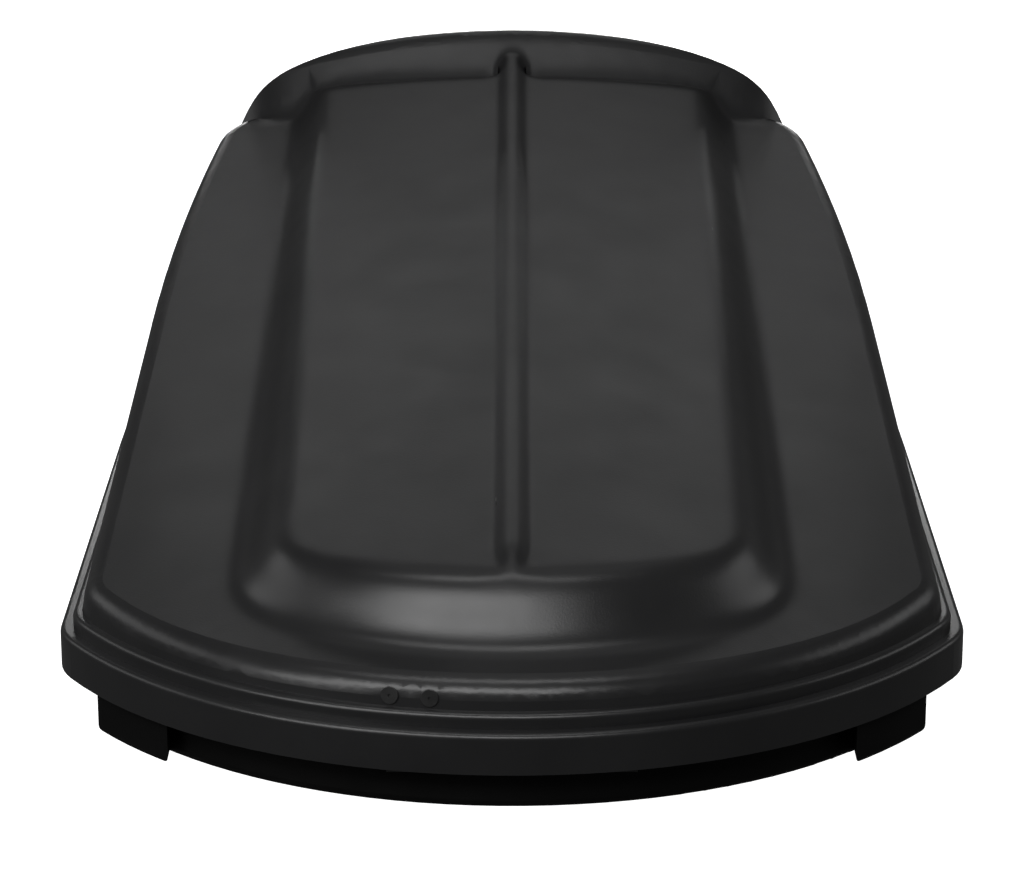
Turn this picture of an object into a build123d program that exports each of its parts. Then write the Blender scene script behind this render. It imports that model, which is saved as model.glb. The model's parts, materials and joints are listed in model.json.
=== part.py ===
from build123d import *
import math
import os

os.makedirs("parts", exist_ok=True)

# Frame: X across, Y front (-) to rear (+), Z up, origin under the middle of the base.
# Plan outline of the lid rim.
length = 1600.0
width = 965.0
half_width = width / 2
front_radius = 545.0
front_corner_radius = 110.0
side_straight_end_y = 150.0
side_radius = 4400.0
rear_radius = 1500.0
rear_corner_radius = 130.0

# Lid rim heights, insets from the rim outline, and wall.
lid_wall = 4.0
skirt_bottom_z = 50.0
skirt_top_z = 93.0
step_z = 109.0
step_inset = 14.0
foot_inset = 21.0
side_draft = 0.15
rear_draft = 0.046
loft_top_z = 520.0
shoulder_radius = 26.0
bead_radius = 6.0

# Lid deck, raised panel, rib and rear lip.
deck_z = 145.0
deck_y = -500.0
deck_slope = 0.178
deck_camber = 2.2e-4
deck_edge_x = 430.0
panel_z = 227.0
panel_y = -600.0
panel_slope = 0.17
panel_camber = 4.1e-4
panel_half_width = 285.0
panel_front_radius = 370.0
panel_front_y = -716.0
panel_corner_radius = 150.0
panel_rear_y = 735.0
panel_draft = 36.0
panel_edge_radius = 22.0
rib_half_width = 16.5
rib_height = 10.0
rib_front_y = -674.0
rib_nose = 62.0
rib_tail = 30.0
rib_rear_y = 744.0
crest_z = 483.0
crest_y = 752.0
crest_radius = 30.0
crest_camber = 4.5e-4
crest_corner_x = 304.0
crest_corner_radius = 78.0
ramp_angle = 50.0

# Base tub.
base_inset = 9.0
base_wall = 3.5
base_top_z = 80.0
base_edge_radius = 10.0
tub_half_width = 436.0
tub_top_z = 50.0
recess_radius = 513.0
recess_half_width = 355.0
slot_x = 300.0
slot_y = 350.0
slot_length = 200.0
slot_width = 7.0
bead_x = 150.0
bead_width = 34.0
bead_depth = 8.0
bead_length = 1150.0
rail_length = 1250.0
rail_width = 60.0
rail_plate = 2.0
rail_rivet_x = 22.0
seal_top_z = 88.5

# Hinges.
hinge_y = -771.0
hinge_z = 66.0
hinge_x = 102.0
hinge_width = 52.0
hinge_pin_radius = 2.5
knuckle_radius = 4.5
fit_gap = 0.05
plate = 2.0
leaf_gap = 0.5
gooseneck_z = 85.4
lid_leaf_y = -748.0
lid_screw_x = 8.0
lid_screw_z = 117.0
lid_leaf_top_z = 124.0
lid_leaf_half = 18.0
lid_pad_bottom_z = 106.0
flange_rivet_spacing = 40.0
flange_rivet_z = 120.0
flange_rivet_radius = 9.2
flange_rivet_shank = 3.0

# Gas struts: base pivot, and lid stud with the lid closed.
strut_x = 225.0
strut_base_y = -680.0
strut_base_z = 32.0
strut_lid_y = -500.0
strut_lid_z = 178.0
strut_tube_radius = 9.0
strut_rod_radius = 4.0
strut_pin_radius = 3.0
strut_eye_radius = 15.0
strut_eye_bore = 10.0
stud_radius = 4.0

# Lock.
lock_z = 140.0
lock_plug_radius = 6.5
lock_body_radius = 10.0
lock_flange_radius = 15.0
lock_depth = 28.0
cam_length = 34.0

SIDES = (("left", -1), ("right", 1))

def save(builder, label):
    builder.part.label = label
    export_step(builder.part, "parts/" + label + ".step")


# --- plan outline -----------------------------------------------------------


def circle_meet(c0, r0, c1, r1):
    """The meeting point of two circles that lies further to the rear."""
    gap = math.hypot(c1[0] - c0[0], c1[1] - c0[1])
    along = (r0 * r0 - r1 * r1 + gap * gap) / (2 * gap)
    up = math.sqrt(r0 * r0 - along * along)
    ux = (c1[0] - c0[0]) / gap
    uy = (c1[1] - c0[1]) / gap
    first = (c0[0] + along * ux - up * uy, c0[1] + along * uy + up * ux)
    second = (c0[0] + along * ux + up * uy, c0[1] + along * uy - up * ux)
    return max(first, second, key=lambda p: p[1])


def angle_to(start, end):
    return math.degrees(math.atan2(end[1] - start[1], end[0] - start[0]))


def outline(inset, rear_shift=0.0):
    """The rim outline moved in by inset, with its rear edge moved by rear_shift."""
    front = (0.0, -length / 2 + front_radius)
    corner_x = half_width - front_corner_radius
    reach = front_radius - front_corner_radius
    corner = (corner_x, front[1] - math.sqrt(reach**2 - corner_x**2))
    side = (half_width - side_radius, side_straight_end_y)
    rear = (0.0, length / 2 - rear_radius + rear_shift)
    rear_corner = circle_meet(
        side, side_radius - rear_corner_radius, rear, rear_radius - rear_corner_radius
    )
    a_front = angle_to(front, corner)
    a_side = angle_to(side, rear_corner)
    a_rear = angle_to(rear, rear_corner)
    x_side = half_width - inset
    with BuildSketch() as sketch:
        with BuildLine():
            CenterArc(front, front_radius - inset, -90, a_front + 90)
            CenterArc(corner, front_corner_radius - inset, a_front, -a_front)
            Line((x_side, corner[1]), (x_side, side[1]))
            CenterArc(side, side_radius - inset, 0, a_side)
            CenterArc(rear_corner, rear_corner_radius - inset, a_side, a_rear - a_side)
            CenterArc(rear, rear_radius - inset, a_rear, 90 - a_rear)
            mirror(about=Plane.YZ)
        make_face()
    return sketch.sketch


# --- lid --------------------------------------------------------------------


def slanted(z, y, slope):
    """A plane through (0, y, z) that rises to the rear with the given slope."""
    return Plane(origin=(0, y, z), x_dir=(1, 0, 0), z_dir=(0, -slope, 1))


def above_camber(crown_z, y, slope, camber):
    """Everything above a cambered surface that rises to the rear through (0, y, crown_z)."""
    reach = 560.0
    front = -900.0
    rear = 900.0
    crown = crown_z + slope * (front - y)
    edge = crown - camber * reach**2
    run = (rear - front) * math.hypot(1, slope)
    with BuildPart() as solid:
        with BuildSketch(Plane.XZ.offset(-front)):
            with BuildLine():
                ThreePointArc((-reach, edge), (0, crown), (reach, edge))
                Line((reach, edge), (reach, 900))
                Line((reach, 900), (-reach, 900))
                Line((-reach, 900), (-reach, edge))
            make_face()
        extrude(amount=run, dir=(0, 1, slope))
    return solid.part


def drafted_walls(inset):
    """The lid's outer walls, taller than the lid, leaning in as they rise."""
    tall = loft_top_z - skirt_top_z
    foot = foot_inset + inset
    with BuildPart() as solid:
        with BuildSketch(Plane.XY.offset(skirt_top_z - lid_wall)):
            add(outline(foot))
        with BuildSketch(Plane.XY.offset(loft_top_z)):
            add(outline(foot + side_draft * tall, (side_draft - rear_draft) * tall))
        loft(ruled=True)
    return solid.part


def deck_body(inset):
    """The lid without panel or lip, cut by its deck and rounded at the shoulder."""
    crown = deck_z + deck_camber * deck_edge_x**2 - inset
    with BuildPart() as solid:
        add(drafted_walls(inset))
        add(above_camber(crown, deck_y, deck_slope, deck_camber), mode=Mode.SUBTRACT)
        deck = max(solid.faces(), key=lambda f: f.normal_at().Z * f.area)
        fillet(deck.edges(), shoulder_radius - inset)
    return solid.part


def panel_outline(grow):
    """Plan of the raised panel in its slanted plane, grown by grow."""
    r_front = panel_front_radius + grow
    r_corner = panel_corner_radius + grow
    corner_x = panel_half_width - panel_corner_radius
    reach = panel_front_radius - panel_corner_radius
    front = (0.0, panel_front_radius)
    corner = (corner_x, panel_front_radius - math.sqrt(reach**2 - corner_x**2))
    a_corner = angle_to(front, corner)
    side = panel_half_width + grow
    rear = (panel_rear_y - panel_front_y) * math.hypot(1, deck_slope)
    with BuildSketch() as sketch:
        with BuildLine():
            CenterArc(front, r_front, -90, a_corner + 90)
            CenterArc(corner, r_corner, a_corner, -a_corner)
            Line((side, corner[1]), (side, rear))
            Line((side, rear), (0, rear))
            mirror(about=Plane.YZ)
        make_face()
    return sketch.sketch


def raised_panel(inset):
    """The wide raised panel, its foot line on the deck and its edge rounded."""
    below = 12.0
    draft = math.tan(math.radians(panel_draft))
    foot_z = deck_z + deck_camber * (deck_edge_x**2 - panel_half_width**2)
    foot_z += deck_slope * (panel_front_y - deck_y) - below - inset
    crown = panel_z - inset
    with BuildPart() as solid:
        with BuildSketch(slanted(foot_z, panel_front_y, deck_slope)):
            add(panel_outline(below * draft - inset))
        extrude(amount=110, taper=panel_draft)
        add(above_camber(crown, panel_y, panel_slope, panel_camber), mode=Mode.SUBTRACT)
        top = max(solid.faces(), key=lambda f: f.normal_at().Z * f.area)
        front_and_sides = top.edges().filter_by(lambda e: e.center().Y < panel_rear_y - 40)
        fillet(front_and_sides, panel_edge_radius - inset)
    return solid.part


def crest_height(x):
    """Height of the rear lip's crest: cambered, with a large radius at each end."""
    over = min(max(abs(x) - crest_corner_x, 0.0), 0.9 * crest_corner_radius)
    beyond = max(abs(x) - crest_corner_x - over, 0.0)
    drop = crest_corner_radius - math.sqrt(crest_corner_radius**2 - over**2)
    return crest_z - crest_camber * x * x - drop - 2 * beyond


def rear_lip(inset):
    """The ramp and crest across the lid's rear, inside the drafted walls."""
    lean = math.radians(ramp_angle)
    radius = crest_radius - inset
    y_top = crest_y
    y_ramp = y_top - radius * math.sin(lean)
    y_back = y_top + radius * math.sin(math.radians(60))
    floor = 120.0
    with BuildPart() as solid:
        for x in (-396, -380, -368, -350, -325, -295, -200, -100, 0, 100, 200, 295, 325, 350, 368, 380, 396):
            top = crest_height(x) - inset
            ramp_z = top - radius * (1 - math.cos(lean))
            foot_z = ramp_z - 50 * math.tan(lean)
            back_z = top - radius / 2
            with BuildSketch(Plane.YZ.offset(x)):
                with BuildLine():
                    Line((y_ramp - 50, foot_z), (y_ramp, ramp_z))
                    ThreePointArc((y_ramp, ramp_z), (y_top, top), (y_back, back_z))
                    Line((y_back, back_z), (820, back_z - 50))
                    Line((820, back_z - 50), (820, floor))
                    Line((820, floor), (y_ramp - 50, floor))
                    Line((y_ramp - 50, floor), (y_ramp - 50, foot_z))
                make_face()
        loft()
        add(drafted_walls(inset), mode=Mode.INTERSECT)
    return solid.part


def centre_rib(inset):
    """The rib along the panel: a round back, half sunk in it, with long round ends."""
    radius = (rib_half_width**2 + rib_height**2) / (2 * rib_height)
    start_z = panel_z + panel_slope * (rib_front_y - panel_y) + rib_height - radius
    length = (rib_rear_y - rib_front_y) * math.hypot(1, panel_slope)
    start = (0, rib_front_y, start_z)
    along = (0, 1, panel_slope)
    reach = radius - inset
    with BuildPart() as solid:
        with BuildSketch(Plane(origin=start, x_dir=along, z_dir=(1, 0, 0))):
            with BuildLine():
                EllipticalCenterArc((rib_nose, 0), rib_nose - inset, reach, 90, arc_size=90)
                Line((inset, 0), (length - inset, 0))
                EllipticalCenterArc((length - rib_tail, 0), rib_tail - inset, reach, 0, arc_size=90)
                Line((length - rib_tail, reach), (rib_nose, reach))
            make_face()
        revolve(axis=Axis(start, along))
    return solid.part


def rim_layer(inset, low, high, radius):
    with BuildPart() as solid:
        with BuildSketch(Plane.XY.offset(low)):
            add(outline(inset))
        extrude(amount=high - low)
        if radius:
            fillet(solid.faces().sort_by(Axis.Z)[-1].edges(), radius)
    return solid.part


def lid_envelope(inset):
    """The lid filled in solid; with inset it is the space inside the lid."""
    low = skirt_bottom_z - (1 if inset else 0)
    radius = 0 if inset else bead_radius
    with BuildPart() as solid:
        add(deck_body(inset))
        add(raised_panel(inset))
        add(rear_lip(inset))
        add(centre_rib(inset))
        add(rim_layer(inset, low, skirt_top_z - inset, radius))
        add(rim_layer(step_inset + inset, low, step_z - inset, radius))
    return solid.part


lid_space = lid_envelope(lid_wall)


def wall_point(x, z):
    """A point on the lid's front wall and the wall's outward direction there."""
    radius = front_radius - foot_inset - side_draft * (z - skirt_top_z + lid_wall)
    turn = math.asin(x / radius)
    y = front_radius - length / 2 - radius * math.cos(turn)
    out = Vector(math.sin(turn), -math.cos(turn), side_draft)
    return Vector(x, y, z), out.normalized()


def flange_rivet_planes():
    planes = []
    for side in (-1, 1):
        x = -hinge_x + side * flange_rivet_spacing / 2
        point, out = wall_point(x, flange_rivet_z)
        planes.append(Plane(origin=point, x_dir=(0, 0, 1), z_dir=out))
    return planes


rear_wall_y = length / 2 - foot_inset - rear_draft * (lock_z - skirt_top_z + lid_wall)
lock_plane = Plane(origin=(0, rear_wall_y, lock_z), x_dir=(1, 0, 0), z_dir=(0, 1, rear_draft))

with BuildPart() as lid_shell:
    add(lid_envelope(0))
    add(lid_space, mode=Mode.SUBTRACT)
    for plane_ in flange_rivet_planes():
        with Locations(plane_):
            Cylinder(flange_rivet_shank + 0.2, 30, mode=Mode.SUBTRACT)
    with Locations(lock_plane):
        Cylinder(lock_body_radius + 0.2, 30, mode=Mode.SUBTRACT)
save(lid_shell, "lid_shell")


def inside_lid(block):
    """The part of a block that fits inside the lid, lying against its inner face."""
    with BuildPart() as fitted:
        add(block)
        add(lid_space, mode=Mode.INTERSECT)
    return fitted.part


def box_between(low, high):
    size = [b - a for a, b in zip(low, high)]
    middle = [(a + b) / 2 for a, b in zip(low, high)]
    with BuildPart() as block:
        with Locations(tuple(middle)):
            Box(*size)
    return block.part


# Two cambered bars glued across the underside of the raised panel.
for name, bar_y in (("lid_stiffener_front", -150.0), ("lid_stiffener_rear", 350.0)):
    bar_z = panel_z - lid_wall - 0.6 + panel_slope * (bar_y - panel_y)
    with BuildPart() as stiffener:
        add(above_camber(bar_z - 14, bar_y, panel_slope, panel_camber))
        add(above_camber(bar_z, bar_y, panel_slope, panel_camber), mode=Mode.SUBTRACT)
        add(box_between((-236, bar_y - 22, 0), (236, bar_y + 22, 800)), mode=Mode.INTERSECT)
    save(stiffener, name)


def along_x(x0, x1, y, z, radius):
    """A round bar along X."""
    with BuildPart() as bar:
        with Locations(Plane(origin=(min(x0, x1), y, z), x_dir=(0, 1, 0), z_dir=(1, 0, 0))):
            Cylinder(radius, abs(x1 - x0), align=(Align.CENTER, Align.CENTER, Align.MIN))
    return bar.part


def along_y(x, y0, y1, z, radius):
    """A round bar along Y."""
    with BuildPart() as bar:
        with Locations(Plane(origin=(x, min(y0, y1), z), x_dir=(1, 0, 0), z_dir=(0, 1, 0))):
            Cylinder(radius, abs(y1 - y0), align=(Align.CENTER, Align.CENTER, Align.MIN))
    return bar.part


# --- base -------------------------------------------------------------------


def base_plan(inset):
    """Plan of the base: the rim outline moved in, with the shallow recess at the front."""
    front_c = front_radius - length / 2
    with BuildSketch() as recess:
        with Locations((0, front_c - 300)):
            Rectangle(2 * (recess_half_width + inset), 600)
        with Locations((0, front_c)):
            Circle(recess_radius - inset, mode=Mode.SUBTRACT)
    with BuildSketch() as plan:
        add(outline(base_inset + inset))
        add(recess.sketch, mode=Mode.SUBTRACT)
    return plan.sketch


def hinge_box(side, low, high, half=hinge_width / 2):
    x = side * hinge_x
    return box_between((x - half, low[0], low[1]), (x + half, high[0], high[1]))


def base_solid(inset):
    """The base filled in solid: a narrower tub below and the full plan above it."""
    with BuildPart() as solid:
        with BuildSketch(Plane.XY.offset(inset)):
            add(base_plan(inset))
            Rectangle(2 * (tub_half_width - inset), 2 * length, mode=Mode.INTERSECT)
        extrude(amount=tub_top_z)
        fillet(solid.faces().sort_by(Axis.Z)[0].edges(), base_edge_radius - inset)
        with BuildSketch(Plane.XY.offset(tub_top_z + inset)):
            add(base_plan(inset))
        extrude(amount=base_top_z - tub_top_z)
    return solid.part


def floor_beads(width, shift):
    """Long raised beads in the floor."""
    with BuildPart() as solid:
        with BuildSketch(Plane.XY.offset(shift - 1)):
            with Locations((-bead_x, 40), (0, 40), (bead_x, 40)):
                SlotOverall(bead_length + width, width, rotation=90)
        extrude(amount=bead_depth + 1)
    return solid.part


base_leaf_y = hinge_y + knuckle_radius
rail_points = [(x, y) for x in (-rail_rivet_x, rail_rivet_x) for y in (-560, -120, 120, 560)]
bracket_rivet_x = 16.0
bracket_rivet_y = strut_base_y + 10
leaf_rivet_x = 14.0
leaf_rivet_z = 49.0
leaf_bottom_z = 40.0
striker_x = 60.0
striker_rivets_z = (48.0, 64.0)
striker_plate_y = 783.3
pad_front_y = base_leaf_y + plate + leaf_gap / 5

with BuildPart() as base_shell:
    add(base_solid(0))
    add(base_solid(base_wall), mode=Mode.SUBTRACT)
    add(floor_beads(bead_width + 2 * base_wall, base_wall))
    add(floor_beads(bead_width, 0), mode=Mode.SUBTRACT)
    for _, side in SIDES:
        add(hinge_box(side, (pad_front_y, leaf_bottom_z - 3), (-738, base_top_z), 32))
    for _, side in SIDES:
        add(hinge_box(side, (-790, 0), (pad_front_y, base_top_z + 1), 40), mode=Mode.SUBTRACT)
    with BuildSketch(Plane.XY.offset(-1)):
        with Locations((-slot_x, -slot_y), (-slot_x, slot_y), (slot_x, -slot_y), (slot_x, slot_y)):
            SlotOverall(slot_length, slot_width, rotation=90)
    extrude(amount=base_wall + 2, mode=Mode.SUBTRACT)
    for _, side in SIDES:
        for dx, y in rail_points:
            with Locations((side * slot_x + dx, y, 0)):
                Cylinder(2.1, 12, mode=Mode.SUBTRACT)
        for dx in (-bracket_rivet_x, bracket_rivet_x):
            with Locations((side * strut_x + dx, bracket_rivet_y, 0)):
                Cylinder(2.1, 12, mode=Mode.SUBTRACT)
        for dx in (-leaf_rivet_x, leaf_rivet_x):
            x = side * hinge_x + dx
            add(along_y(x, -790, pad_front_y + 12, leaf_rivet_z, 2.6), mode=Mode.SUBTRACT)
    for z in striker_rivets_z:
        add(along_y(striker_x, 770, 800, z, 2.1), mode=Mode.SUBTRACT)
save(base_shell, "base_shell")

# Rubber edge trim on the base wall, left out where the hinges pass.
with BuildPart() as base_seal:
    with BuildSketch(Plane.XY.offset(base_top_z - 6)):
        add(base_plan(-2))
        add(base_plan(base_wall + 2), mode=Mode.SUBTRACT)
    extrude(amount=seal_top_z - base_top_z + 6)
    with BuildSketch(Plane.XY.offset(base_top_z - 7)):
        add(base_plan(0))
        add(base_plan(base_wall), mode=Mode.SUBTRACT)
    extrude(amount=7, mode=Mode.SUBTRACT)
    for _, side in SIDES:
        add(hinge_box(side, (-800, 60), (-730, 100), 36), mode=Mode.SUBTRACT)
save(base_seal, "base_seal")

# Steel rails over the floor slots.
for label, side in SIDES:
    with BuildPart() as rail:
        with Locations((side * slot_x, 0, base_wall + rail_plate / 2)):
            Box(rail_width, rail_length, rail_plate)
        for edge in (-1, 1):
            with Locations((side * slot_x + edge * (rail_width - 2) / 2, 0, base_wall + 5)):
                Box(2, rail_length, 10)
        with BuildSketch(Plane.XY):
            with Locations((side * slot_x, -slot_y), (side * slot_x, slot_y)):
                SlotOverall(slot_length, slot_width, rotation=90)
        extrude(amount=20, mode=Mode.SUBTRACT)
        for dx, y in rail_points:
            with Locations((side * slot_x + dx, y, base_wall)):
                Cylinder(2.1, 12, mode=Mode.SUBTRACT)
    save(rail, "base_rail_" + label)

with BuildPart() as rail_rivets:
    for _, side in SIDES:
        for dx, y in rail_points:
            with Locations((side * slot_x + dx, y, base_wall + rail_plate)):
                Cylinder(4, 1.6, align=(Align.CENTER, Align.CENTER, Align.MIN))
                Cylinder(2, 4.4, align=(Align.CENTER, Align.CENTER, Align.MAX))
save(rail_rivets, "rail_rivets")


# --- hinges -----------------------------------------------------------------


knuckle_half = 11.0
leaf_half = hinge_width / 2 - 2
for label, side in SIDES:
    x = side * hinge_x
    with BuildPart() as base_leaf:
        low_corner = (x - leaf_half, base_leaf_y, leaf_bottom_z)
        add(box_between(low_corner, (x + leaf_half, base_leaf_y + plate, hinge_z)))
        for end in (-1, 1):
            inner = x + end * (knuckle_half + leaf_gap)
            add(along_x(inner, x + end * leaf_half, hinge_y, hinge_z, knuckle_radius))
            low = (min(inner, x + end * leaf_half), hinge_y, hinge_z - knuckle_radius)
            high = (max(inner, x + end * leaf_half), base_leaf_y + plate, hinge_z)
            add(box_between(low, high))
        add(along_x(x - 40, x + 40, hinge_y, hinge_z, hinge_pin_radius), mode=Mode.SUBTRACT)
        knuckle_low = (x - knuckle_half - leaf_gap, base_leaf_y, hinge_z - 6)
        knuckle_high = (x + knuckle_half + leaf_gap, base_leaf_y + plate, hinge_z)
        add(box_between(knuckle_low, knuckle_high), mode=Mode.SUBTRACT)
        for dx in (-leaf_rivet_x, leaf_rivet_x):
            add(along_y(x + dx, -790, -740, leaf_rivet_z, 2.6), mode=Mode.SUBTRACT)
    save(base_leaf, "hinge_leaf_base_" + label)

    with BuildPart() as hinge_pin:
        add(along_x(x - leaf_half - 2, x + leaf_half + 2, hinge_y, hinge_z, hinge_pin_radius))
    save(hinge_pin, "hinge_pin_" + label)

    with BuildPart() as lid_leaf:
        add(along_x(x - knuckle_half, x + knuckle_half, hinge_y, hinge_z, knuckle_radius))
        front_y = hinge_y - plate / 2
        neck_half = knuckle_half
        low_corner = (x - neck_half, front_y, hinge_z)
        add(box_between(low_corner, (x + neck_half, front_y + plate, gooseneck_z + plate)))
        neck_high = (x + neck_half, lid_leaf_y + plate, gooseneck_z + plate)
        add(box_between((x - neck_half, front_y, gooseneck_z), neck_high))
        add(box_between((x - neck_half, lid_leaf_y, gooseneck_z), (x + neck_half, lid_leaf_y + plate, 98)))
        leaf_high = (x + lid_leaf_half, lid_leaf_y + plate, lid_leaf_top_z)
        add(box_between((x - lid_leaf_half, lid_leaf_y, 98), leaf_high))
        bore = hinge_pin_radius + fit_gap
        add(along_x(x - 40, x + 40, hinge_y, hinge_z, bore), mode=Mode.SUBTRACT)
        for dx in (-lid_screw_x, lid_screw_x):
            add(along_y(x + dx, -760, -740, lid_screw_z, 2.2), mode=Mode.SUBTRACT)
    save(lid_leaf, "hinge_leaf_lid_" + label)

    pad_low = (x - leaf_half, -790, lid_pad_bottom_z)
    pad = box_between(pad_low, (x + leaf_half, lid_leaf_y, lid_leaf_top_z))
    with BuildPart() as hinge_pad:
        add(inside_lid(pad))
        if side < 0:
            for plane_ in flange_rivet_planes():
                with Locations(plane_):
                    Cylinder(flange_rivet_shank + 0.2, 40, mode=Mode.SUBTRACT)
        for dx in (-lid_screw_x, lid_screw_x):
            add(along_y(x + dx, lid_leaf_y - 5, -740, lid_screw_z, 2.0), mode=Mode.SUBTRACT)
    save(hinge_pad, "hinge_pad_" + label)

with BuildPart() as hinge_screws_lid:
    for _, side in SIDES:
        for dx in (-lid_screw_x, lid_screw_x):
            x = side * hinge_x + dx
            add(along_y(x, lid_leaf_y - 5, lid_leaf_y + plate, lid_screw_z, 2.0))
            add(along_y(x, lid_leaf_y + plate, lid_leaf_y + plate + 2.4, lid_screw_z, 4.0))
save(hinge_screws_lid, "hinge_screws_lid")

with BuildPart() as hinge_rivets_base:
    for _, side in SIDES:
        for dx in (-leaf_rivet_x, leaf_rivet_x):
            x = side * hinge_x + dx
            add(along_y(x, base_leaf_y - 1.6, base_leaf_y, leaf_rivet_z, 5.0))
            add(along_y(x, base_leaf_y, base_leaf_y + 11, leaf_rivet_z, 2.5))
save(hinge_rivets_base, "hinge_rivets_base")

with BuildPart() as flange_rivets:
    for plane_ in flange_rivet_planes():
        with Locations(plane_):
            with Locations((0, 0, 0.25)):
                Cylinder(flange_rivet_radius, 1.6, align=(Align.CENTER, Align.CENTER, Align.MIN))
            Cylinder(flange_rivet_shank, 5.4, align=(Align.CENTER, Align.CENTER, Align.MAX))
            Cylinder(flange_rivet_shank, 0.5, align=(Align.CENTER, Align.CENTER, Align.MIN))
            with Locations((0, 0, 1.85)):
                Cylinder(1.5, 4, mode=Mode.SUBTRACT)
    rims = flange_rivets.edges().filter_by(GeomType.CIRCLE)
    rims = rims.filter_by(lambda e: abs(e.radius - flange_rivet_radius) < 0.01)
    fillet(rims, 0.7)
save(flange_rivets, "hinge_flange_rivets")


# --- gas struts -------------------------------------------------------------


def strut_plane(side):
    """Origin at the base pivot, local X along the closed strut, local Z across the box."""
    run = (0, strut_lid_y - strut_base_y, strut_lid_z - strut_base_z)
    return Plane(origin=(side * strut_x, strut_base_y, strut_base_z), x_dir=run, z_dir=(1, 0, 0))


strut_length = math.hypot(strut_lid_y - strut_base_y, strut_lid_z - strut_base_z)
tube_start = 14.0
tube_end = 152.0


def cylinder_along(plane_, start, end, radius):
    """A round bar along the plane's X axis."""
    with BuildPart() as bar:
        with Locations(Plane(plane_.origin + plane_.x_dir * start, plane_.z_dir, plane_.x_dir)):
            Cylinder(radius, end - start, align=(Align.CENTER, Align.CENTER, Align.MIN))
    return bar.part


for label, side in SIDES:
    frame = strut_plane(side)
    with BuildPart() as tube:
        with Locations(frame):
            Cylinder(8, 6)
        add(cylinder_along(frame, 5, tube_start, 3.0))
        add(cylinder_along(frame, tube_start, tube_end, strut_tube_radius))
        add(cylinder_along(frame, tube_start + 8, tube_end - 6, strut_tube_radius - 1.5), mode=Mode.SUBTRACT)
        gland = cylinder_along(frame, tube_end - 7, tube_end + 1, strut_rod_radius + fit_gap)
        add(gland, mode=Mode.SUBTRACT)
        with Locations(frame):
            Cylinder(strut_pin_radius + fit_gap, 20, mode=Mode.SUBTRACT)
    save(tube, "strut_tube_" + label)

    with BuildPart() as rod:
        add(cylinder_along(frame, 80, strut_length - strut_eye_radius - 6, strut_rod_radius))
        add(cylinder_along(frame, 76, 86, strut_tube_radius - 1.9))
    save(rod, "strut_rod_" + label)

    with BuildPart() as eye:
        with Locations(frame):
            with Locations((strut_length, 0, 0)):
                Cylinder(strut_eye_radius, 6)
                Cylinder(strut_eye_bore, 20, mode=Mode.SUBTRACT)
        add(cylinder_along(frame, strut_length - strut_eye_radius - 14, strut_length - 13.6, 6.5))
        rod_end = strut_length - strut_eye_radius - 6
        add(cylinder_along(frame, rod_end - 10, rod_end, strut_rod_radius), mode=Mode.SUBTRACT)
    save(eye, "strut_eye_" + label)

    x = side * strut_x
    with BuildPart() as base_bracket:
        foot_z = base_wall
        add(box_between((x - 22, strut_base_y - 4, foot_z), (x + 22, strut_base_y + 22, foot_z + plate)))
        for ear in (-1, 1):
            ear_low = (x + ear * 5.5 - 1.25, strut_base_y - 9, foot_z)
            ear_high = (x + ear * 5.5 + 1.25, strut_base_y + 9, strut_base_z + 8)
            add(box_between(ear_low, ear_high))
        add(along_x(x - 8.5, x + 8.5, strut_base_y, strut_base_z, strut_pin_radius))
        for dx in (-bracket_rivet_x, bracket_rivet_x):
            with Locations((x + dx, bracket_rivet_y, foot_z)):
                Cylinder(2.1, 20, mode=Mode.SUBTRACT)
    save(base_bracket, "strut_bracket_base_" + label)

    top_z = 200.0
    with BuildPart() as lid_bracket:
        outer = side * 12.0
        plate_low = (min(x + outer, x + outer + side * 2.5), strut_lid_y - 14, strut_lid_z - 10)
        plate_high = (max(x + outer, x + outer + side * 2.5), strut_lid_y + 14, top_z)
        add(box_between(plate_low, plate_high))
        add(box_between((x - 22, strut_lid_y - 14, top_z - 2.5), (x + 22, strut_lid_y + 14, top_z)))
        add(along_x(x - side * 6, x + outer, strut_lid_y, strut_lid_z, stud_radius))
    save(lid_bracket, "strut_bracket_lid_" + label)

    block = box_between((x - 22, strut_lid_y - 14, top_z), (x + 22, strut_lid_y + 14, 300))
    with BuildPart() as strut_pad:
        add(inside_lid(block))
    save(strut_pad, "strut_pad_" + label)

with BuildPart() as bracket_rivets:
    for _, side in SIDES:
        for dx in (-bracket_rivet_x, bracket_rivet_x):
            with Locations((side * strut_x + dx, bracket_rivet_y, base_wall + plate)):
                Cylinder(4, 1.6, align=(Align.CENTER, Align.CENTER, Align.MIN))
                Cylinder(2, 3.4, align=(Align.CENTER, Align.CENTER, Align.MAX))
save(bracket_rivets, "strut_bracket_rivets")


# --- lock -------------------------------------------------------------------


def lock_cylinder(start, end, radius):
    """A round bar on the lock axis; positive is outside the rear wall."""
    with BuildPart() as bar:
        with Locations(lock_plane):
            with Locations((0, 0, start)):
                Cylinder(radius, end - start, align=(Align.CENTER, Align.CENTER, Align.MIN))
    return bar.part


with BuildPart() as lock_housing:
    add(lock_cylinder(0.6, 3.6, lock_flange_radius))
    add(lock_cylinder(-lock_depth + 6, 3.6, lock_body_radius))
    add(lock_cylinder(-lock_depth - 1, 5, lock_plug_radius + fit_gap), mode=Mode.SUBTRACT)
save(lock_housing, "lock_housing")

with BuildPart() as lock_nut:
    add(lock_cylinder(-9.2, -5.2, 14))
    add(lock_cylinder(-12, 0, lock_body_radius + 0.02), mode=Mode.SUBTRACT)
save(lock_nut, "lock_nut")

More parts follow.
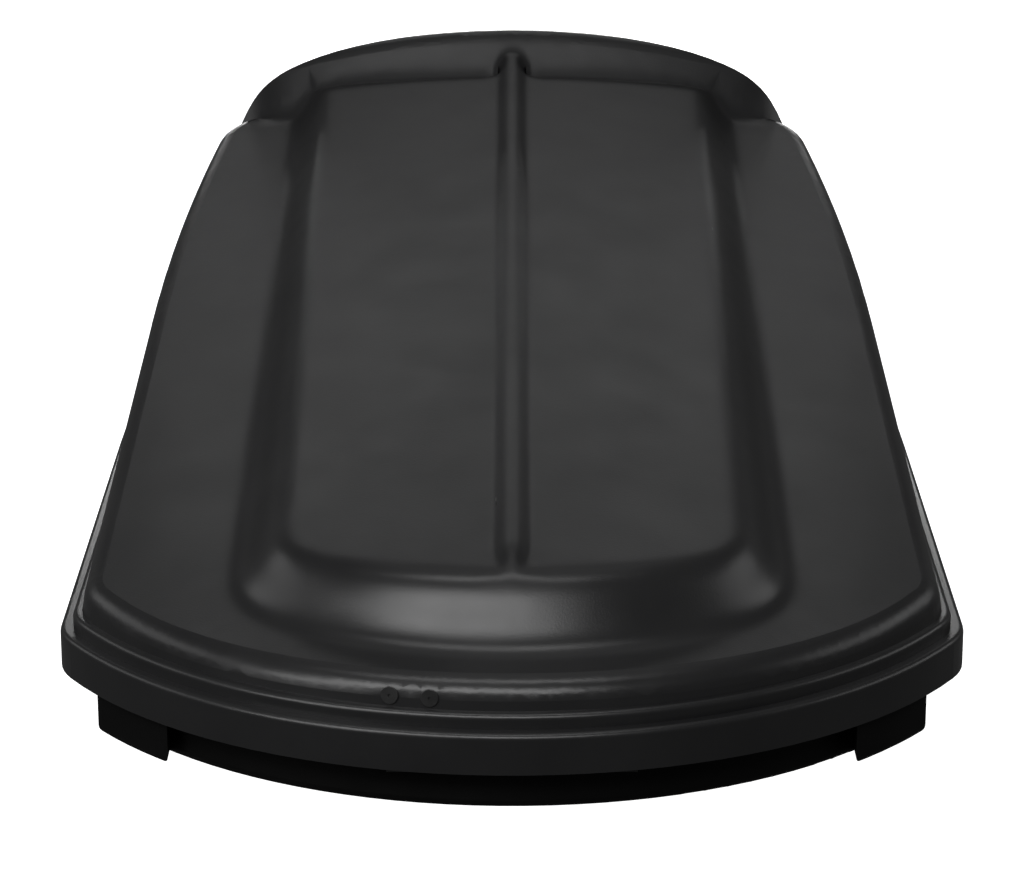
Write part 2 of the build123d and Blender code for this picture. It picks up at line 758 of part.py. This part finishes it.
with BuildPart() as lock_plug:
    add(lock_cylinder(-lock_depth, 3.4, lock_plug_radius))
    with Locations(lock_plane):
        with Locations((0, 0, 3.4)):
            Box(1.8, 8, 8, mode=Mode.SUBTRACT)
    add(lock_cylinder(-lock_depth - 1, -lock_depth + 5, 1.9), mode=Mode.SUBTRACT)
save(lock_plug, "lock_plug")

with BuildPart() as lock_cam:
    with Locations(lock_plane):
        with Locations((0, (cam_length - 8) / 2, -lock_depth - 1.5)):
            Box(10, cam_length - 8 + 16, 3)
    add(lock_cylinder(-lock_depth - 10, -lock_depth + 1, 1.9), mode=Mode.SUBTRACT)
    tip = lock_cam.edges().filter_by(lambda e: abs(e.length - 3) < 0.01)
    fillet(tip, 4)
save(lock_cam, "lock_cam")

with BuildPart() as lock_screw:
    add(lock_cylinder(-lock_depth - 3, -lock_depth + 4.5, 1.8))
    add(lock_cylinder(-lock_depth - 5.4, -lock_depth - 3, 3.6))
save(lock_screw, "lock_screw")

striker_y = (738.0, 752.0)
striker_top_z = 151.0
with BuildPart() as striker:
    add(box_between((37, striker_y[0], 40), (40, striker_plate_y + plate, 72)))
    add(box_between((37, striker_y[0], 40), (40, striker_y[1], striker_top_z)))
    add(box_between((37, striker_plate_y, 40), (72, striker_plate_y + plate, 72)))
    add(box_between((13, striker_y[0], striker_top_z - 3), (40, striker_y[1], striker_top_z)))
    for z in striker_rivets_z:
        add(along_y(striker_x, 770, 800, z, 2.1), mode=Mode.SUBTRACT)
save(striker, "striker")

with BuildPart() as striker_rivets:
    for z in striker_rivets_z:
        add(along_y(striker_x, striker_plate_y - 1.6, striker_plate_y, z, 4.0))
        add(along_y(striker_x, striker_plate_y, striker_plate_y + 5.5, z, 2.0))
save(striker_rivets, "striker_rivets")
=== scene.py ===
import json
import math

import bmesh
import bpy
import numpy as np
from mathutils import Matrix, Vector
from mathutils.bvhtree import BVHTree


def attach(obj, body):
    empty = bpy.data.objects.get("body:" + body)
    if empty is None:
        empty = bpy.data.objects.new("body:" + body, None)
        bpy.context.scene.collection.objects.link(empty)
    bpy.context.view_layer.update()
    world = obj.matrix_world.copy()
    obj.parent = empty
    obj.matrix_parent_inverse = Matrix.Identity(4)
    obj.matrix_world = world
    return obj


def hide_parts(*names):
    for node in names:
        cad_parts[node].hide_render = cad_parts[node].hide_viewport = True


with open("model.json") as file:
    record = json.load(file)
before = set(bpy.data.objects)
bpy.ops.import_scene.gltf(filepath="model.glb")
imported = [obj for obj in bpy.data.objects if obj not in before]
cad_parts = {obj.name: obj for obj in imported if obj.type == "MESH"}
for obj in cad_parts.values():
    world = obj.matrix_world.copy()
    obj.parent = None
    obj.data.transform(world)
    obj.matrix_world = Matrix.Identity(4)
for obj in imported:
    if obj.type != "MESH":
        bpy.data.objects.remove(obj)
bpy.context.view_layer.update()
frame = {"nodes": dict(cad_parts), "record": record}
nodes = frame["nodes"]


# --- materials ---------------------------------------------------------------


class Shader:
    """A small helper around one material's node tree."""

    def __init__(self, name):
        self.material = bpy.data.materials.new(name)
        self.material.use_nodes = True
        self.tree = self.material.node_tree
        self.principled = self.tree.nodes["Principled BSDF"]
        self.coords = self.add("ShaderNodeTexCoord")

    def add(self, kind, **values):
        node = self.tree.nodes.new(kind)
        for key, value in values.items():
            if key in node.inputs:
                node.inputs[key].default_value = value
            else:
                setattr(node, key, value)
        return node

    def link(self, source, target):
        self.tree.links.new(source, target)

    def noise(self, scale, detail=4.0, stretch=(1, 1, 1)):
        mapping = self.add("ShaderNodeMapping")
        mapping.inputs["Scale"].default_value = stretch
        self.link(self.coords.outputs["Object"], mapping.inputs["Vector"])
        node = self.add("ShaderNodeTexNoise", Scale=scale, Detail=detail)
        self.link(mapping.outputs["Vector"], node.inputs["Vector"])
        return node.outputs["Fac"]

    def grain(self, scale):
        node = self.add("ShaderNodeTexVoronoi", Scale=scale)
        self.link(self.coords.outputs["Object"], node.inputs["Vector"])
        return node.outputs["Distance"]

    def span(self, source, low, high):
        node = self.add("ShaderNodeMapRange")
        node.inputs["From Min"].default_value = 0.3
        node.inputs["From Max"].default_value = 0.7
        node.inputs["To Min"].default_value = low
        node.inputs["To Max"].default_value = high
        self.link(source, node.inputs["Value"])
        return node.outputs["Result"]

    def colour(self, source, dark, light):
        node = self.add("ShaderNodeMix", data_type="RGBA")
        node.inputs["A"].default_value = (*dark, 1)
        node.inputs["B"].default_value = (*light, 1)
        self.link(self.span(source, 0, 1), node.inputs["Factor"])
        for socket in node.inputs:
            if socket.type == "RGBA" and socket.name == "A":
                socket.default_value = (*dark, 1)
            if socket.type == "RGBA" and socket.name == "B":
                socket.default_value = (*light, 1)
        result = [s for s in node.outputs if s.type == "RGBA"][0]
        self.link(result, self.principled.inputs["Base Color"])

    def rough(self, source, low, high):
        self.link(self.span(source, low, high), self.principled.inputs["Roughness"])

    def bump(self, layers):
        """Layers of (height source, strength, depth in metres), stacked."""
        below = None
        for source, strength, depth in layers:
            node = self.add("ShaderNodeBump", Strength=strength, Distance=depth)
            self.link(source, node.inputs["Height"])
            if below:
                self.link(below, node.inputs["Normal"])
            below = node.outputs["Normal"]
        self.link(below, self.principled.inputs["Normal"])


def plastic(name, dark, light, rough, grain_depth, specular=0.5):
    shader = Shader(name)
    shader.colour(shader.noise(9.0), dark, light)
    shader.rough(shader.noise(14.0, 6.0), *rough)
    shader.bump([
        (shader.grain(420.0), 0.35, grain_depth),
        (shader.noise(900.0, 2.0), 0.25, grain_depth),
        (shader.noise(5.0, 1.0), 0.07, 0.0012),
    ])
    shader.principled.inputs["Specular IOR Level"].default_value = specular
    return shader.material


def metal(name, dark, light, rough, stretch=(1, 1, 1), metallic=1.0):
    shader = Shader(name)
    shader.colour(shader.noise(60.0, 5.0), dark, light)
    shader.rough(shader.noise(180.0, 3.0, stretch), *rough)
    shader.bump([(shader.noise(700.0, 2.0, stretch), 0.15, 0.0001)])
    shader.principled.inputs["Metallic"].default_value = metallic
    return shader.material


materials = {
    "lid_plastic": plastic("lid_abs", (0.011, 0.011, 0.0115), (0.015, 0.015, 0.0155), (0.29, 0.35), 0.00012),
    "base_plastic": plastic("base_abs", (0.0015, 0.0015, 0.0015), (0.0035, 0.0035, 0.0035), (0.5, 0.6), 0.0002, 0.12),
    "rubber_trim": plastic("trim_rubber", (0.008, 0.008, 0.008), (0.016, 0.016, 0.016), (0.7, 0.85), 0.0001),
    "stiffener_plastic": plastic("bar_plastic", (0.02, 0.02, 0.021), (0.035, 0.035, 0.036), (0.5, 0.6), 0.0001),
    "lock_black": plastic("lock_plastic", (0.01, 0.01, 0.01), (0.02, 0.02, 0.02), (0.3, 0.4), 0.00005),
    "eye_plastic": plastic("eye_nylon", (0.012, 0.012, 0.012), (0.022, 0.022, 0.022), (0.4, 0.5), 0.00005),
    "zinc_steel": metal("zinc_plate", (0.42, 0.43, 0.44), (0.6, 0.61, 0.63), (0.28, 0.42), (1, 0.08, 1)),
    "pin_steel": metal("bright_steel", (0.42, 0.42, 0.43), (0.55, 0.55, 0.56), (0.25, 0.38)),
    "rivet_aluminium": metal("rivet_metal", (0.55, 0.55, 0.56), (0.7, 0.7, 0.71), (0.35, 0.45)),
    "black_steel": metal("black_coat", (0.014, 0.014, 0.014), (0.024, 0.024, 0.024), (0.4, 0.5), metallic=0.0),
    "black_rivet": metal("black_rivet", (0.012, 0.012, 0.012), (0.02, 0.02, 0.02), (0.32, 0.42), metallic=0.0),
    "tube_paint": metal("tube_paint", (0.01, 0.01, 0.01), (0.018, 0.018, 0.018), (0.2, 0.3), metallic=0.0),
    "lock_chrome": metal("lock_metal", (0.5, 0.5, 0.5), (0.62, 0.62, 0.62), (0.18, 0.3)),
    "rod_chrome": metal("rod_metal", (0.58, 0.58, 0.6), (0.68, 0.68, 0.7), (0.08, 0.15)),
}

slots = {part["node"]: part["material_slot"] for part in frame["record"]["subparts"]}
for name, node in nodes.items():
    node.data.materials.clear()
    node.data.materials.append(materials[slots[name]])


# --- the lid, with the soft edges of a formed sheet --------------------------

GRID = 0.004
SPAN_X = 0.484
SPAN_Y = 0.804
FINE_EDGE = 0.0075


def height_map(lid):
    """The lid's outer height on a regular grid, looking straight down."""
    xs = np.arange(-SPAN_X, SPAN_X + GRID / 2, GRID)
    ys = np.arange(-SPAN_Y, SPAN_Y + GRID / 2, GRID)
    heights = np.zeros((len(xs), len(ys)))
    mesh_tree = BVHTree.FromPolygons(
        [v.co for v in lid.data.vertices], [p.vertices for p in lid.data.polygons])
    for i, x in enumerate(xs):
        for j, y in enumerate(ys):
            hit = mesh_tree.ray_cast(Vector((x, y, 1.0)), Vector((0, 0, -1)))[0]
            heights[i, j] = hit.z if hit else 0.0
    return xs, ys, heights


def smoothed(values, sigma):
    """A Gaussian blur of a grid, with sigma in cells."""
    reach = int(3 * sigma) + 1
    steps = np.arange(-reach, reach + 1)
    weights = np.exp(-0.5 * (steps / sigma) ** 2)
    weights /= weights.sum()
    for axis in (0, 1):
        pad = [(0, 0), (0, 0)]
        pad[axis] = (reach, reach)
        padded = np.pad(values, pad, mode="edge")
        length = values.shape[axis]
        values = sum(
            w * np.take(padded, range(k, k + length), axis=axis) for k, w in enumerate(weights))
    return values


def edge_distance(inside):
    """How far each cell is from the nearest outside cell, in metres."""
    distance = np.where(inside, 1e3, 0.0)
    for _ in range(40):
        around = [np.roll(distance, shift, axis) + 1 for axis in (0, 1) for shift in (-1, 1)]
        around += [
            np.roll(np.roll(distance, a, 0), b, 1) + math.sqrt(2) for a in (-1, 1) for b in (-1, 1)]
        distance = np.minimum(distance, np.min(around, axis=0))
        distance[~inside] = 0.0
    return distance * GRID


def sample(grid, xs, ys, x, y):
    """Bilinear values of a grid at many points."""
    u = np.clip((x - xs[0]) / GRID, 0, len(xs) - 1.001)
    v = np.clip((y - ys[0]) / GRID, 0, len(ys) - 1.001)
    i = u.astype(int)
    j = v.astype(int)
    fu = u - i
    fv = v - j
    return (
        grid[i, j] * (1 - fu) * (1 - fv) + grid[i + 1, j] * fu * (1 - fv)
        + grid[i, j + 1] * (1 - fu) * fv + grid[i + 1, j + 1] * fu * fv)


def soften_lid(lid):
    """A copy of the lid whose outer top runs smoothly over the panel, rib and lip."""
    xs, ys, heights = height_map(lid)
    grid_x, grid_y = np.meshgrid(xs, ys, indexing="ij")
    steepness = np.hypot(*np.gradient(heights, GRID))
    from_rim = edge_distance(heights > 0.112) - 0.030
    from_wall = edge_distance(steepness < 4.0) - 0.022
    share = np.clip(np.minimum(from_rim, from_wall) / 0.030, 0, 1)
    share = share * share * (3 - 2 * share)
    near_rib = np.clip((0.040 - np.abs(grid_x)) / 0.018, 0, 1)
    near_rib *= np.clip((grid_y + 0.675) / 0.03, 0, 1)
    fine = smoothed(heights, 1.1)
    broad = smoothed(heights, 2.6)
    soft = broad + (fine - broad) * near_rib
    target = heights + (soft - heights) * share

    bm = bmesh.new()
    bm.from_mesh(lid.data)
    bmesh.ops.remove_doubles(bm, verts=bm.verts, dist=1e-6)
    for _ in range(9):
        long_edges = []
        for edge in bm.edges:
            if edge.calc_length() < FINE_EDGE:
                continue
            middle = (edge.verts[0].co + edge.verts[1].co) / 2
            i = int(round((middle.x - xs[0]) / GRID))
            j = int(round((middle.y - ys[0]) / GRID))
            upward = any(face.normal.z > 0.05 for face in edge.link_faces)
            if share[i, j] > 0 and upward and middle.z > 0.112:
                long_edges.append(edge)
        if not long_edges:
            break
        bmesh.ops.subdivide_edges(bm, edges=long_edges, cuts=1, use_grid_fill=False)
        bmesh.ops.triangulate(bm, faces=[f for f in bm.faces if len(f.verts) > 3])
        bm.normal_update()
    bmesh.ops.dissolve_degenerate(bm, dist=0.0001, edges=bm.edges)
    mesh = bpy.data.meshes.new("lid_skin")
    bm.to_mesh(mesh)
    bm.free()

    count = len(mesh.vertices)
    co = np.zeros(count * 3)
    mesh.vertices.foreach_get("co", co)
    co = co.reshape(count, 3)
    facing_up = np.zeros(count * 3)
    mesh.vertex_normals.foreach_get("vector", facing_up)
    facing_up = facing_up.reshape(count, 3)[:, 2] > 0.3
    below = sample(heights, xs, ys, co[:, 0], co[:, 1]) - co[:, 2]
    outer = (co[:, 2] > 0.112) & ((below < 0.0032) | facing_up & (below < 0.012))
    weight = sample(share, xs, ys, co[:, 0], co[:, 1]) * outer
    wanted = sample(soft, xs, ys, co[:, 0], co[:, 1])
    co[:, 2] += (wanted - co[:, 2]) * weight
    mesh.vertices.foreach_set("co", co.ravel())
    mesh.polygons.foreach_set("use_smooth", [True] * len(mesh.polygons))
    mesh.materials.append(materials["lid_plastic"])
    mesh.update()

    slope_x, slope_y = np.gradient(target, GRID)
    steep = np.stack([
        -sample(slope_x, xs, ys, co[:, 0], co[:, 1]),
        -sample(slope_y, xs, ys, co[:, 0], co[:, 1]),
        np.ones(count)], axis=1)
    steep /= np.linalg.norm(steep, axis=1, keepdims=True)
    set_normals(mesh, lid.data, steep, np.clip(weight * 4, 0, 1))

    skin = bpy.data.objects.new("lid_skin", mesh)
    bpy.context.collection.objects.link(skin)
    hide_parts("lid_shell")
    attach(skin, "lid")
    return skin


def set_normals(mesh, cad_mesh, smooth_normals, weight):
    """Corner normals: the smooth field's where it counts, the CAD mesh's elsewhere."""
    known = {}
    for loop, corner in zip(cad_mesh.loops, cad_mesh.corner_normals):
        spot = tuple(round(c, 5) for c in cad_mesh.vertices[loop.vertex_index].co)
        known.setdefault(spot, []).append(np.array(corner.vector))
    spots = [tuple(round(c, 5) for c in v.co) for v in mesh.vertices]
    normals = []
    for face in mesh.polygons:
        facing = np.array(face.normal)
        for v in face.vertices:
            if weight[v] >= 1:
                normals.append(smooth_normals[v])
                continue
            options = known.get(spots[v])
            own = max(options, key=facing.dot) if options else facing
            if weight[v] > 0:
                own = own * (1 - weight[v]) + smooth_normals[v] * weight[v]
            normals.append(own / np.linalg.norm(own))
    mesh.normals_split_custom_set(normals)


soften_lid(nodes["lid_shell"])


# --- floor, light, camera ----------------------------------------------------


def quad(name, half_x, half_y):
    mesh = bpy.data.meshes.new(name)
    corners = [(-half_x, -half_y, 0), (half_x, -half_y, 0), (half_x, half_y, 0), (-half_x, half_y, 0)]
    mesh.from_pydata(corners, [], [(0, 1, 2, 3)])
    item = bpy.data.objects.new(name, mesh)
    bpy.context.collection.objects.link(item)
    return item


def area_light(name, place, aim, size, power, spread=math.pi):
    light = bpy.data.lights.new(name, "AREA")
    light.shape = "RECTANGLE"
    light.size, light.size_y = size
    light.energy = power
    light.spread = spread
    item = bpy.data.objects.new(name, light)
    bpy.context.collection.objects.link(item)
    item.location = place
    item.rotation_euler = (Vector(aim) - Vector(place)).to_track_quat("-Z", "Y").to_euler()
    return item


floor = quad("floor", 400, 400)
floor.location.z = -0.002
floor_shader = Shader("floor_paint")
floor_shader.colour(floor_shader.noise(0.6, 2.0), (0.9, 0.9, 0.9), (0.93, 0.93, 0.93))
floor_shader.rough(floor_shader.noise(3.0), 0.85, 0.95)
floor_shader.principled.inputs["Emission Color"].default_value = (1, 1, 1, 1)
floor_shader.principled.inputs["Emission Strength"].default_value = 1.2
floor.data.materials.append(floor_shader.material)
floor.visible_glossy = False
floor.visible_diffuse = False
floor.visible_shadow = False

area_light("front_box", (-0.9, -3.8, 3.0), (0, -0.3, 0.2), (4.2, 1.2), 100)
area_light("front_left_box", (-2.6, -2.8, 1.5), (0, -0.4, 0.2), (1.6, 1.2), 26)
area_light("top_box", (0.0, 0.3, 3.0), (0, 0.1, 0.3), (2.0, 2.6), 4)
area_light("back_box", (0.0, 3.6, 3.0), (0, 0.0, 0.3), (3.4, 0.8), 6)
area_light("lip_box", (-0.2, -1.0, 3.4), (0, 0.6, 0.4), (2.2, 0.6), 16)
area_light("rear_box", (0.0, 4.6, 0.9), (0, 0.5, 0.3), (3.0, 0.8), 40)
area_light("left_box", (-3.0, 0.2, 1.5), (0, 0.0, 0.2), (3.0, 1.0), 10)
area_light("right_box", (3.0, 0.2, 1.5), (0, 0.0, 0.2), (3.0, 1.0), 10)

world = bpy.data.worlds.new("studio")
world.use_nodes = True
world.node_tree.nodes["Background"].inputs["Color"].default_value = (1, 1, 1, 1)
world.node_tree.nodes["Background"].inputs["Strength"].default_value = 0.08
bpy.context.scene.world = world
bpy.context.scene.view_settings.view_transform = "Standard"

camera_data = bpy.data.cameras.new("camera")
camera_data.sensor_width = 36.0
camera_data.lens = 3757.75 / 1024 * 36
camera = bpy.data.objects.new("camera", camera_data)
bpy.context.collection.objects.link(camera)
camera.location = (0.0, -4.2476, 1.5048)
camera.rotation_euler = (math.radians(90 - 17.75), 0, 0)
bpy.context.scene.camera = camera
